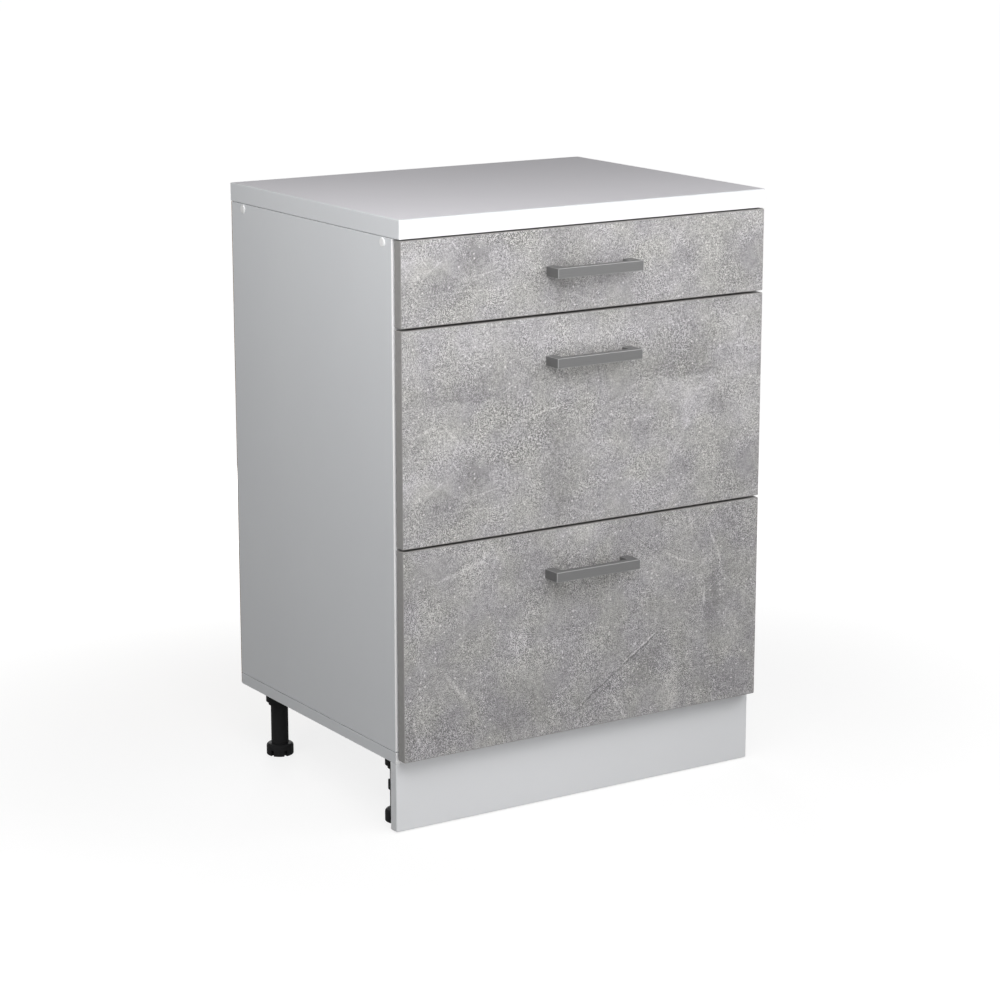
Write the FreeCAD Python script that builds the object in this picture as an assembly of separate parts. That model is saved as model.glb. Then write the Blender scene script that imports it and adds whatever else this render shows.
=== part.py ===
import FreeCAD, Part
import math
import os

# Drawer base cabinet: a board carcass on levelling legs, a laid-on worktop, a clipped plinth,
# and three drawers with bow handles that run out on telescopic ball runners.
# Millimetres. +Z is up and the drawer fronts face -Y. The origin is on the floor, under the
# middle of the whole object, handles included.

Vector = FreeCAD.Vector
across = Vector(1, 0, 0)
rearward = Vector(0, 1, 0)
upward = Vector(0, 0, 1)

# Carcass and worktop
cabinet_width = 600.0
carcass_height = 720.0
leg_height = 100.0
worktop_thickness = 26.0
worktop_depth = 470.0
worktop_edge_radius = 1.5
board_thickness = 16.0
back_thickness = 3.0
back_inset = 1.0
top_rail_width = 90.0

# Plinth and its clips
plinth_floor_gap = 2.0
clip_plate_width = 44.0
clip_plate_height = 36.0
clip_plate_thickness = 3.0
clip_ring_wall = 2.4
clip_ring_height = 12.0
clip_level_share = 0.49
clip_neck_width = 14.0
clip_mouth_width = 18.0
clip_clearance = 0.15
clip_screw_spacing = 24.0

# Levelling legs
leg_side_inset = 33.0
leg_front_inset = 48.0
leg_back_inset = 57.0
socket_radius = 19.5
socket_height = 18.0
socket_collar_radius = 16.0
socket_collar_height = 5.0
socket_roof = 5.0
socket_spigot_radius = 5.0
socket_spigot_share = 0.7
tube_radius = 12.8
tube_clearance = 0.15
foot_radius = 20.0
foot_height = 17.0
foot_crown_radius = 3.5
foot_sole_chamfer = 0.8
foot_notch_radius = 2.4
foot_notch_height = 8.0
foot_notch_count = 6
foot_notch_turn = 26.0
foot_stem_radius = 8.0
foot_stem_length = 46.0
thread_clearance = 0.1
foot_tube_gap = 0.3

# Drawer fronts
front_thickness = 16.0
front_standoff = 3.0
front_side_reveal = 2.0
front_top_reveal = 2.0
front_bottom_reveal = 6.0
front_gap = 3.0
front_edge_radius = 1.0
upper_front_height = 116.0

# Bow handles
handle_length = 140.0
handle_hole_inset = 6.0
handle_height = 14.0
handle_projection = 29.0
handle_bar_depth = 11.0
handle_leg_width = 14.0
handle_inner_radius = 4.0
handle_edge_radius = 0.8
handle_drop = 61.3
handle_thread_depth = 8.0

# Drawer boxes
upper_box_lift = 10.0
upper_box_rail_gap = 8.0
tall_box_lift = 20.0
tall_box_drop = 75.0
box_tail = 4.0
box_bottom_thickness = 3.0
box_groove_share = 0.5
box_groove_rise = 10.0
groove_clearance = 0.1
box_screw_rise = 20.0
box_screw_drop = 14.0
front_screw_inset = 75.0
front_screw_rise = 26.0
front_screw_drop = 20.0

# Telescopic ball runners, one pair to each drawer
runner_space = 13.0
runner_rear_gap = 45.0
runner_setback = 3.0
runner_rise = 42.0
rail_height = 45.0
rail_metal = 1.2
rail_lip = 1.6
rail_web_gap = 0.5
cabinet_rail_box_gap = 3.4
sliding_rail_box_gap = 2.8
drawer_rail_side_gap = 5.4
ball_radius = 1.5
ball_clearance = 0.15
ball_count = 6
ball_strip_share = 0.375
ball_strip_thickness = 0.8
ball_strip_clearance = 0.4
rail_screw_shares = (0.1, 0.5, 0.9)

# Fasteners
screw_clearance = 0.1
carcass_screw_radius = 3.0
carcass_screw_bite = 34.0
carcass_screw_head_radius = 5.0
carcass_screw_head_height = 4.0
front_rail_screw_inset = 23.0
rear_rail_screw_inset = 38.0
bottom_screw_inset = 60.0
cap_radius = 6.5
cap_thickness = 1.8
cap_edge_share = 0.8
cap_stem_radius = 2.0
cap_stem_length = 3.0
dowel_radius = 4.0
dowel_length = 30.0
dowel_side_share = 0.625
rail_dowel_inset = 67.0
bottom_dowel_spacing = 120.0
box_screw_radius = 2.5
box_screw_bite = 34.0
box_screw_head_radius = 4.5
box_screw_head_height = 3.5
wood_screw_radius = 2.0
front_screw_bite_share = 0.75
worktop_screw_bite_share = 0.5
wood_screw_head_radius = 4.0
wood_screw_head_height = 2.4
worktop_screw_inset = 100.0
rail_screw_radius = 1.9
rail_screw_bite_share = 0.65
rail_screw_head_radius = 3.4
rail_screw_head_height = 0.9
handle_screw_radius = 2.0
handle_screw_head_radius = 4.0
handle_screw_head_height = 2.6
nail_radius = 0.8
nail_bite = 17.0
nail_margin = 48.0
nail_head_radius = 2.0
nail_head_height = 0.8
nail_side_count = 6
nail_edge_count = 3

cut_overrun = 5.0
touch = 0.001

# Planes that the pieces share
half_width = cabinet_width / 2
back_face = (worktop_depth + handle_projection) / 2
front_face = back_face - worktop_depth
front_rear = front_face + front_thickness
carcass_front = front_rear + front_standoff
carcass_back = back_face - back_thickness
carcass_base = leg_height
floor_top = carcass_base + board_thickness
carcass_top = carcass_base + carcass_height
inner_half = half_width - board_thickness
box_half = inner_half - runner_space
box_inner_half = box_half - board_thickness
runner_front = carcass_front + runner_setback
runner_length = carcass_back - runner_rear_gap - runner_front
collar_base = leg_height - socket_height - socket_collar_height
box_back = runner_front + runner_length + box_tail
tall_front_height = (carcass_height - front_top_reveal - front_bottom_reveal
                     - upper_front_height - 2 * front_gap) / 2
dowel_in_board = board_thickness * dowel_side_share
rail_screw_bite = board_thickness * rail_screw_bite_share

# Every node holds a list of solids, and a list of what is drilled or cut out of them
solids = {}
cuts = {}


def add(node, solid):
    solids.setdefault(node, []).append(solid)


def cut(node, tool):
    cuts.setdefault(node, []).append(tool)


def block(x_span, y_span, z_span):
    low = Vector(min(x_span), min(y_span), min(z_span))
    high = Vector(max(x_span), max(y_span), max(z_span))
    size = high - low
    return Part.makeBox(size.x, size.y, size.z, low)


def rod(start, direction, radius, length):
    return Part.makeCylinder(radius, length, start, direction)


def edges_in_plane(shape, normal, place):
    return [edge for edge in shape.Edges
            if all(abs(vertex.Point.dot(normal) - place) < touch for vertex in edge.Vertexes)]


# A flush screw starts at the middle of its head's face. Its hole is the same shape with ease
# all round, and runs out through the face that the screw is driven from.
def flush_screw(start, direction, radius, length, head_radius, head_height, ease):
    head = Part.makeCone(head_radius + ease, radius + ease, head_height, start, direction)
    return head.fuse(rod(start, direction, radius + ease, length + ease)).removeSplitter()


def drive_flush(node, boards, start, direction, radius, length, head_radius, head_height):
    add(node, flush_screw(start, direction, radius, length, head_radius, head_height, 0))
    hole = flush_screw(start, direction, radius, length, head_radius, head_height, screw_clearance)
    mouth = rod(start - direction * cut_overrun, direction, head_radius + screw_clearance, cut_overrun)
    for board in boards:
        cut(board, hole.fuse(mouth))


# A raised screw starts on the face that its head bears on
def drive_raised(node, boards, start, direction, radius, length, head_radius, head_height):
    head = rod(start - direction * head_height, direction, head_radius, head_height)
    add(node, head.fuse(rod(start, direction, radius, length)))
    hole = rod(start - direction * cut_overrun, direction, radius + screw_clearance,
               cut_overrun + length + screw_clearance)
    for board in boards:
        cut(board, hole)


def drive_carcass_screw(boards, start, direction):
    drive_flush("carcass_screws", boards, start, direction, carcass_screw_radius,
                board_thickness + carcass_screw_bite, carcass_screw_head_radius, carcass_screw_head_height)


def drive_wood_screw(node, boards, start, direction, bite):
    drive_flush(node, boards, start, direction, wood_screw_radius, board_thickness + bite,
                wood_screw_head_radius, wood_screw_head_height)


def drive_rail_screw(node, boards, start, direction, plate_thickness):
    drive_raised(node, boards, start, direction, rail_screw_radius, plate_thickness + rail_screw_bite,
                 rail_screw_head_radius, rail_screw_head_height)


def set_dowel(boards, start, direction):
    add("carcass_dowels", rod(start, direction, dowel_radius, dowel_length))
    hole = rod(start - direction * screw_clearance, direction, dowel_radius + screw_clearance,
               dowel_length + 2 * screw_clearance)
    for board in boards:
        cut(board, hole)


def spread(low, high, count):
    return [low + (high - low) * step / (count - 1) for step in range(count)]


# Carcass: two sides standing on a full-width bottom, two flat rails between them at the top,
# and a thin back nailed on behind
def make_carcass():
    depth = (carcass_front, carcass_back)
    sides = {"left_side_panel": -1, "right_side_panel": 1}
    for node, side in sides.items():
        add(node, block((side * inner_half, side * half_width), depth, (floor_top, carcass_top)))
    add("bottom_panel", block((-half_width, half_width), depth, (carcass_base, floor_top)))

    rail_span = (-inner_half, inner_half)
    rail_level = (carcass_top - board_thickness, carcass_top)
    rails = {
        "front_top_rail": (carcass_front, carcass_front + top_rail_width),
        "rear_top_rail": (carcass_back - top_rail_width, carcass_back),
    }
    screw_places = {
        "front_top_rail": carcass_front + front_rail_screw_inset,
        "rear_top_rail": back_face - rear_rail_screw_inset,
    }
    dowel_places = {
        "front_top_rail": carcass_front + rail_dowel_inset,
        "rear_top_rail": carcass_back - rail_dowel_inset,
    }
    rail_middle = carcass_top - board_thickness / 2
    for rail, rail_depth in rails.items():
        add(rail, block(rail_span, rail_depth, rail_level))
        for node, side in sides.items():
            start = Vector(side * half_width, screw_places[rail], rail_middle)
            drive_carcass_screw((node, rail), start, across * -side)
            set_cap(start, across * -side)
            dowel_start = Vector(side * (inner_half + dowel_in_board), dowel_places[rail], rail_middle)
            set_dowel((node, rail), dowel_start, across * -side)

    middle_depth = (carcass_front + carcass_back) / 2
    edge_middle = half_width - board_thickness / 2
    for node, side in sides.items():
        boards = ("bottom_panel", node)
        for place in (carcass_front + bottom_screw_inset, carcass_back - bottom_screw_inset):
            drive_carcass_screw(boards, Vector(side * edge_middle, place, carcass_base), upward)
        for place in (middle_depth - bottom_dowel_spacing / 2, middle_depth + bottom_dowel_spacing / 2):
            set_dowel(boards, Vector(side * edge_middle, place, floor_top - dowel_in_board), upward)

    back_half = half_width - back_inset
    add("back_panel", block((-back_half, back_half), (carcass_back, back_face),
                            (carcass_base + back_inset, carcass_top - back_inset)))
    nail_rows = {
        "left_side_panel": [(-edge_middle, level) for level in nail_levels()],
        "right_side_panel": [(edge_middle, level) for level in nail_levels()],
        "bottom_panel": [(place, carcass_base + board_thickness / 2) for place in nail_places()],
        "rear_top_rail": [(place, rail_middle) for place in nail_places()],
    }
    for board, places in nail_rows.items():
        for place, level in places:
            drive_flush("back_panel_nails", ("back_panel", board), Vector(place, back_face, level), -rearward,
                        nail_radius, back_thickness + nail_bite, nail_head_radius, nail_head_height)


def nail_levels():
    return spread(floor_top + nail_margin, carcass_top - nail_margin, nail_side_count)


def nail_places():
    reach = inner_half - nail_margin
    return spread(-reach, reach, nail_edge_count)


# A domed cap covers the screw head on the outside of the cabinet, its stem in the screw's socket
def set_cap(start, direction):
    crown = start - direction * cap_thickness
    disc = rod(crown, direction, cap_radius, cap_thickness)
    rim = edges_in_plane(disc, direction, crown.dot(direction))
    dome = disc.makeFillet(cap_thickness * cap_edge_share, rim)
    add("screw_caps", dome.fuse(rod(start, direction, cap_stem_radius, cap_stem_length)))
    cut("carcass_screws", rod(start - direction * cut_overrun, direction, cap_stem_radius + screw_clearance,
                              cut_overrun + cap_stem_length + screw_clearance))


# The worktop lies on the sides and rails, flush with the drawer fronts and the back, and is
# screwed on from below through the rails
def make_worktop():
    top = carcass_top + worktop_thickness
    slab = block((-half_width, half_width), (front_face, back_face), (carcass_top, top))
    rounded = edges_in_plane(slab, upward, top)
    for edge in edges_in_plane(slab, rearward, front_face):
        if not any(edge.isSame(other) for other in rounded):
            rounded.append(edge)
    add("worktop", slab.makeFillet(worktop_edge_radius, rounded))
    rail_middles = {
        "front_top_rail": carcass_front + top_rail_width / 2,
        "rear_top_rail": carcass_back - top_rail_width / 2,
    }
    reach = inner_half - worktop_screw_inset
    for rail, place in rail_middles.items():
        for side in (-1, 1):
            drive_wood_screw("worktop_screws", (rail, "worktop"),
                             Vector(side * reach, place, carcass_top - board_thickness), upward,
                             worktop_thickness * worktop_screw_bite_share)


# Four legs: a socket pressed into the bottom panel, a tube pressed into the socket, and a
# notched foot whose stem screws up into the tube
def make_legs():
    side_places = {"left": -(half_width - leg_side_inset), "right": half_width - leg_side_inset}
    depth_places = {"front": carcass_front + leg_front_inset, "rear": back_face - leg_back_inset}
    for depth_name, depth in depth_places.items():
        for side_name, place in side_places.items():
            make_leg(Vector(place, depth, 0), depth_name + "_" + side_name + "_foot")
            if depth_name == "front":
                make_plinth_clip(Vector(place, depth, 0))


def make_leg(foot_centre, foot_node):
    tube_top = leg_height - socket_roof
    tube_base = foot_height + foot_tube_gap

    cup = rod(foot_centre + upward * (leg_height - socket_height), upward, socket_radius, socket_height)
    collar = rod(foot_centre + upward * collar_base, upward, socket_collar_radius, socket_collar_height)
    spigot_length = board_thickness * socket_spigot_share
    spigot = rod(foot_centre + upward * leg_height, upward, socket_spigot_radius, spigot_length)
    bore = rod(foot_centre + upward * (collar_base - cut_overrun), upward, tube_radius + tube_clearance,
               cut_overrun + tube_top - collar_base)
    add("leg_sockets", cup.fuse([collar, spigot]).cut(bore).removeSplitter())
    cut("bottom_panel", rod(foot_centre + upward * (leg_height - cut_overrun), upward,
                            socket_spigot_radius + tube_clearance,
                            cut_overrun + spigot_length + tube_clearance))

    stem_top = foot_height + foot_stem_length
    tube = rod(foot_centre + upward * tube_base, upward, tube_radius, tube_top - tube_base)
    thread = rod(foot_centre + upward * (tube_base - cut_overrun), upward,
                 foot_stem_radius + thread_clearance, cut_overrun + stem_top + foot_tube_gap - tube_base)
    add("leg_tubes", tube.cut(thread))

    disc = rod(foot_centre, upward, foot_radius, foot_height)
    disc = disc.makeFillet(foot_crown_radius, edges_in_plane(disc, upward, foot_height))
    disc = disc.makeChamfer(foot_sole_chamfer, edges_in_plane(disc, upward, 0))
    for step in range(foot_notch_count):
        angle = math.radians(foot_notch_turn + 360 * step / foot_notch_count)
        rim = foot_centre + Vector(math.cos(angle), math.sin(angle), 0) * foot_radius
        notch = rod(rim - upward * cut_overrun, upward, foot_notch_radius, cut_overrun + foot_notch_height)
        disc = disc.cut(notch)
    stem = rod(foot_centre + upward * foot_height, upward, foot_stem_radius, foot_stem_length)
    add(foot_node, disc.fuse(stem).removeSplitter())


# The plinth stands flush with the front of the carcass, and its clips snap on to the front legs
def make_plinth():
    add("plinth", block((-half_width, half_width), (carcass_front, carcass_front + board_thickness),
                        (plinth_floor_gap, carcass_base)))


def make_plinth_clip(foot_centre):
    plinth_rear = carcass_front + board_thickness
    ring_inner = tube_radius + clip_clearance
    ring_outer = ring_inner + clip_ring_wall
    ring_base = foot_height + (collar_base - foot_height) * clip_level_share
    ring_level = (ring_base, ring_base + clip_ring_height)
    plate_middle = ring_base + clip_ring_height / 2
    plate_rear = plinth_rear + clip_plate_thickness

    plate = block((foot_centre.x - clip_plate_width / 2, foot_centre.x + clip_plate_width / 2),
                  (plinth_rear, plate_rear),
                  (plate_middle - clip_plate_height / 2, plate_middle + clip_plate_height / 2))
    neck = block((foot_centre.x - clip_neck_width / 2, foot_centre.x + clip_neck_width / 2),
                 (plinth_rear, foot_centre.y), ring_level)
    ring = rod(foot_centre + upward * ring_base, upward, ring_outer, clip_ring_height)
    hollow = rod(foot_centre + upward * (ring_base - cut_overrun), upward, ring_inner,
                 clip_ring_height + 2 * cut_overrun)
    mouth = block((foot_centre.x - clip_mouth_width / 2, foot_centre.x + clip_mouth_width / 2),
                  (foot_centre.y, foot_centre.y + ring_outer + cut_overrun),
                  (ring_base - cut_overrun, ring_base + clip_ring_height + cut_overrun))
    add("plinth_clips", plate.fuse([neck, ring]).cut([hollow, mouth]).removeSplitter())
    for step in (-1, 1):
        start = Vector(foot_centre.x, plate_rear, plate_middle + step * clip_screw_spacing / 2)
        drive_rail_screw("plinth_clip_screws", ("plinth_clips", "plinth"), start, -rearward,
                         clip_plate_thickness)


# A rail's places are counted in from the cabinet side, at u, and up from the runner's middle, at v
def runner_bar(side, u_span, v_span, y_span, level):
    return block([side * (inner_half - u) for u in u_span], y_span, [level + v for v in v_span])


def near_web(channel):
    return (channel[0], channel[0] + rail_metal)


def far_lip(channel):
    return (channel[1] - rail_metal, channel[1])


def make_rail(side, channel, web, lip, half_height, y_span, level):
    inside = half_height - rail_metal
    bars = [runner_bar(side, web, (-half_height, half_height), y_span, level)]
    for turn in (-1, 1):
        bars.append(runner_bar(side, channel, (turn * inside, turn * half_height), y_span, level))
        if lip:
            bars.append(runner_bar(side, lip, (turn * (inside - rail_lip), turn * inside), y_span, level))
    return bars[0].fuse(bars[1:]).removeSplitter()


# A strip lies between a channel's web and its lips, and holds its balls at an even pitch
def make_ball_strip(side, channel, v, level):
    length = runner_length * ball_strip_share
    start = runner_front + (runner_length - length) / 2
    inset = rail_metal + ball_strip_clearance
    strip = runner_bar(side, (channel[0] + inset, channel[1] - inset),
                       (v - ball_strip_thickness / 2, v + ball_strip_thickness / 2),
                       (start, start + length), level)
    pitch = length / ball_count
    ball_line = side * (inner_half - sum(channel) / 2)
    balls = []
    for step in range(ball_count):
        middle = Vector(ball_line, start + pitch / 2 + pitch * step, level + v)
        balls.append(Part.makeSphere(ball_radius, middle))
    return strip.fuse(balls)


# Each runner nests three channels, with a row of balls above and below between each two: the
# cabinet rail on the cabinet side, the sliding rail, and the drawer rail on the drawer box
def make_runners(name, level, box_sides):
    y_span = (runner_front, runner_front + runner_length)
    cabinet_half = rail_height / 2
    outer_ball = cabinet_half - rail_metal - ball_clearance - ball_radius
    sliding_half = outer_ball - ball_radius - ball_clearance
    inner_ball = sliding_half - rail_metal - ball_clearance - ball_radius
    drawer_half = inner_ball - ball_radius - ball_clearance

    cabinet_channel = (0, runner_space - cabinet_rail_box_gap)
    sliding_start = rail_metal + rail_screw_head_height + rail_web_gap
    sliding_channel = (sliding_start, runner_space - sliding_rail_box_gap)
    drawer_channel = (drawer_rail_side_gap, runner_space)
    drawer_web = (runner_space - rail_metal, runner_space)

    cabinet_sides = ("left_side_panel", "right_side_panel")
    for side, cabinet_side, box_side in zip((-1, 1), cabinet_sides, box_sides):
        add("cabinet_rails", make_rail(side, cabinet_channel, near_web(cabinet_channel),
                                       far_lip(cabinet_channel), cabinet_half, y_span, level))
        add(name + "_sliding_rails", make_rail(side, sliding_channel, near_web(sliding_channel),
                                               far_lip(sliding_channel), sliding_half, y_span, level))
        add(name + "_drawer_rails", make_rail(side, drawer_channel, drawer_web, None,
                                              drawer_half, y_span, level))
        for turn in (-1, 1):
            add(name + "_outer_ball_strips", make_ball_strip(side, cabinet_channel, turn * outer_ball, level))
            add(name + "_inner_ball_strips", make_ball_strip(side, sliding_channel, turn * inner_ball, level))
        for share in rail_screw_shares:
            place = runner_front + runner_length * share
            cabinet_start = Vector(side * (inner_half - rail_metal), place, level)
            drive_rail_screw("rail_screws", ("cabinet_rails", cabinet_side), cabinet_start, across * side,
                             rail_metal)
            drawer_start = Vector(side * (box_half + rail_metal), place, level)
            drive_rail_screw(name + "_drawer_screws", (name + "_drawer_rails", box_side), drawer_start,
                             across * -side, rail_metal)


def make_front(name, base, height):
    panel = block((front_side_reveal - half_width, half_width - front_side_reveal),
                  (front_face, front_rear), (base, base + height))
    add(name + "_front", panel.makeFillet(front_edge_radius, edges_in_plane(panel, rearward, front_face)))


# The handle is one bar bent round at both ends, with a screw up each leg from behind the front
def make_handle(name, level, box_top):
    handle_face = front_face - handle_projection
    z_span = (level - handle_height / 2, level + handle_height / 2)
    half_length = handle_length / 2
    outside = block((-half_length, half_length), (handle_face, front_face), z_span)
    outside = outside.makeFillet(handle_edge_radius, edges_in_plane(outside, rearward, handle_face))

    gap_half = half_length - handle_leg_width
    gap_face = handle_face + handle_bar_depth
    gap = block((-gap_half, gap_half), (gap_face, front_face + cut_overrun),
                (z_span[0] - cut_overrun, z_span[1] + cut_overrun))
    corners = [edge for edge in edges_in_plane(gap, rearward, gap_face) if edge.BoundBox.ZLength > touch]
    add(name + "_handle", outside.cut(gap.makeFillet(handle_inner_radius, corners)))

    boards = [name + "_front", name + "_handle"]
    grip = front_thickness
    if level - handle_screw_head_radius < box_top:
        boards.append(name + "_box_front")
        grip += board_thickness
    hole_place = half_length - handle_hole_inset
    for side in (-1, 1):
        start = Vector(side * hole_place, front_face + grip, level)
        drive_raised(name + "_drawer_screws", boards, start, -rearward, handle_screw_radius,
                     grip + handle_thread_depth, handle_screw_head_radius, handle_screw_head_height)


# A drawer box: two sides, with the box front and box back screwed in between them, and a thin
# bottom let into grooves all round. The drawer front is screwed on from inside the box.
def make_box(name, base, height):
    level = (base, base + height)
    depth = (front_rear, box_back)
    sides = {name + "_box_left_side": -1, name + "_box_right_side": 1}
    ends = {
        name + "_box_front": (front_rear, front_rear + board_thickness),
        name + "_box_back": (box_back - board_thickness, box_back),
    }
    for node, side in sides.items():
        add(node, block((side * box_inner_half, side * box_half), depth, level))
    for node, end_depth in ends.items():
        add(node, block((-box_inner_half, box_inner_half), end_depth, level))

    groove_depth = board_thickness * box_groove_share
    groove_half = box_inner_half + groove_depth
    groove_front = front_rear + board_thickness - groove_depth
    groove_back = box_back - board_thickness + groove_depth
    bottom_base = base + box_groove_rise
    bottom_top = bottom_base + box_bottom_thickness
    add(name + "_box_bottom", block(
        (groove_clearance - groove_half, groove_half - groove_clearance),
        (groove_front + groove_clearance, groove_back - groove_clearance),
        (bottom_base, bottom_top)))
    groove = block((-groove_half, groove_half), (groove_front, groove_back),
                   (bottom_base - groove_clearance, bottom_top + groove_clearance))
    for node in list(sides) + list(ends):
        cut(node, groove)

    screw_levels = [base + box_screw_rise, base + height - box_screw_drop]
    for end, end_depth in ends.items():
        for node, side in sides.items():
            for screw_level in screw_levels:
                drive_flush(name + "_drawer_screws", (node, end),
                            Vector(side * box_half, sum(end_depth) / 2, screw_level), across * -side,
                            box_screw_radius, board_thickness + box_screw_bite, box_screw_head_radius,
                            box_screw_head_height)

    reach = box_inner_half - front_screw_inset
    for side in (-1, 1):
        for screw_level in (base + front_screw_rise, base + height - front_screw_drop):
            drive_wood_screw(name + "_drawer_screws", (name + "_box_front", name + "_front"),
                             Vector(side * reach, front_rear + board_thickness, screw_level), -rearward,
                             front_thickness * front_screw_bite_share)


def make_drawer(name, front_base, front_height, handle_level, box_base, box_top):
    make_front(name, front_base, front_height)
    make_box(name, box_base, box_top - box_base)
    make_handle(name, handle_level, box_top)
    make_runners(name, box_base + runner_rise, (name + "_box_left_side", name + "_box_right_side"))


# Two tall drawers stand one above the other, and the low one fits under the front top rail
def make_drawers():
    tall_base = carcass_base + front_bottom_reveal
    for name in ("lower", "middle"):
        tall_top = tall_base + tall_front_height
        make_drawer(name, tall_base, tall_front_height, tall_top - handle_drop,
                    tall_base + tall_box_lift, tall_top - tall_box_drop)
        tall_base = tall_top + front_gap
    make_drawer("upper", tall_base, upper_front_height, tall_base + upper_front_height / 2,
                tall_base + upper_box_lift, carcass_top - board_thickness - upper_box_rail_gap)


def export():
    os.makedirs("parts", exist_ok=True)
    for node, node_solids in solids.items():
        tools = cuts.get(node, [])
        finished = []
        for solid in node_solids:
            near = [tool for tool in tools if tool.BoundBox.intersect(solid.BoundBox)]
            finished.append(solid.cut(near) if near else solid)
        whole = [piece for shape in finished for piece in shape.Solids]
        shape = whole[0] if len(whole) == 1 else Part.makeCompound(whole)
        if not shape.isValid():
            raise ValueError(node + " is not a valid shape")
        shape.exportStep("parts/" + node + ".step")
        print(node, len(whole), round(shape.Volume))


make_carcass()
make_worktop()
make_plinth()
make_legs()
make_drawers()
export()
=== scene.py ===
import math

import bmesh
import bpy
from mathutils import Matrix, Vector


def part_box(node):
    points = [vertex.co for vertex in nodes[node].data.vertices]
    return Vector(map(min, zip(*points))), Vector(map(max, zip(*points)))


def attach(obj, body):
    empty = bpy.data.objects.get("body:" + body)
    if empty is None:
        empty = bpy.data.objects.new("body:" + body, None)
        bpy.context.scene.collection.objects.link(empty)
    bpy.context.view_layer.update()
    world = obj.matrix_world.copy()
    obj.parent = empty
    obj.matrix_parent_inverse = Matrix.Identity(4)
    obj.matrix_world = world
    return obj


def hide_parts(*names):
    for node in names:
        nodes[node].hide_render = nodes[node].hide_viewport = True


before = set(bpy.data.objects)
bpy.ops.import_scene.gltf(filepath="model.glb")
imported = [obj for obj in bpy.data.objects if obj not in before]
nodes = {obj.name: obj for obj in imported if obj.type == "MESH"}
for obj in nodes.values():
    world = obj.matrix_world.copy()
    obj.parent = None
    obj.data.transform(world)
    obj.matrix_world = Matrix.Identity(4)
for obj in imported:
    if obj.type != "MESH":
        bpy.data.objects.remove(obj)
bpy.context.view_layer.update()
mm = 0.001               # settings are in millimetres, the scene is in metres
drawerNames = ("upper", "middle", "lower")
print("frame loaded:", len(nodes), "nodes")


# Shared by all materials

softRelief, firmRelief = 0.4, 0.5        # how firmly a fine texture is pressed into its surface
resinIor = 1.5                           # melamine resin


def linear(hexColour):
    # sRGB hex to the linear colour that a shader socket takes
    shares = [int(hexColour[i:i + 2], 16) / 255 for i in (1, 3, 5)]
    return [s / 12.92 if s <= 0.04045 else ((s + 0.055) / 1.055) ** 2.4 for s in shares] + [1]


def addNode(tree, kind, inputs=None, **settings):
    # Adds a node, sets it, then links or fills its sockets. On a Mix node, socket 0 is the share,
    # 2 and 3 are its two numbers, and 6 and 7 its two colours.
    node = tree.nodes.new(kind)
    for name, value in settings.items():
        setattr(node, name, value)
    for socket, value in (inputs or {}).items():
        if isinstance(value, bpy.types.NodeSocket):
            tree.links.new(value, node.inputs[socket])
        else:
            node.inputs[socket].default_value = value
    return node


def newMaterial(name, **surface):
    # a Principled material, its plain sockets set from keywords, and its place in millimetres
    material = bpy.data.materials.new(name)
    material.use_nodes = True
    tree = material.node_tree
    shader = tree.nodes["Principled BSDF"]
    for socket, value in surface.items():
        shader.inputs[socket.replace("_", " ")].default_value = value
    metres = addNode(tree, "ShaderNodeTexCoord").outputs["Object"]
    place = addNode(tree, "ShaderNodeMapping", {"Vector": metres, "Scale": (1 / mm,) * 3})
    return material, tree, shader, place.outputs["Vector"]


def emboss(tree, shader, height, relief, strength):
    # relief is the depth of the surface's fine texture, in mm
    bump = addNode(tree, "ShaderNodeBump",
                   {"Height": height, "Distance": relief * mm, "Strength": strength})
    tree.links.new(bump.outputs["Normal"], shader.inputs["Normal"])


# Melamine-faced chipboard, pressed against a pearl plate: an even cool white, with a fine
# orange peel that breaks up the sheen
melamine = {"colour": "#E6E8EA", "shade": "#E0E2E5", "roughness": 0.42, "sheen": 0.5, "pearl": 1.2,
            "drift": 160, "relief": 0.02}
# High-pressure laminate on the worktop: a denser satin skin, with a trace of violet in the white
worktopLaminate = {"colour": "#ECEAEE", "shade": "#E6E4E9", "roughness": 0.6, "sheen": 0.3,
                   "pearl": 0.9, "drift": 220, "relief": 0.015}
# Foil-wrapped plinth: the same white, a shade fresher
plinthFoil = {"colour": "#F0F1F3", "shade": "#ECEDEF", "roughness": 0.45, "sheen": 0.5, "pearl": 1.2,
              "drift": 160, "relief": 0.02}
# The drawer boxes' board: the same skin in a plainer, greyer white
boxMelamine = {"colour": "#DEE0E2", "shade": "#D9DBDD", "roughness": 0.5, "sheen": 0.5, "pearl": 1.4,
               "drift": 120, "relief": 0.03}


def makeMelamine(name, settings):
    material, tree, shader, place = newMaterial(name, Roughness=settings["roughness"], IOR=resinIor,
                                                Specular_IOR_Level=settings["sheen"])
    drift = addNode(tree, "ShaderNodeTexNoise",
                    {"Vector": place, "Scale": 1 / settings["drift"], "Detail": 3.0})
    tone = addNode(tree, "ShaderNodeMix", {0: drift.outputs["Fac"], 6: linear(settings["colour"]),
                                           7: linear(settings["shade"])}, data_type="RGBA")
    tree.links.new(tone.outputs[2], shader.inputs["Base Color"])
    pearl = addNode(tree, "ShaderNodeTexNoise",
                    {"Vector": place, "Scale": 1 / settings["pearl"], "Detail": 2.0})
    emboss(tree, shader, pearl.outputs["Fac"], settings["relief"], softRelief)
    return material


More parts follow.
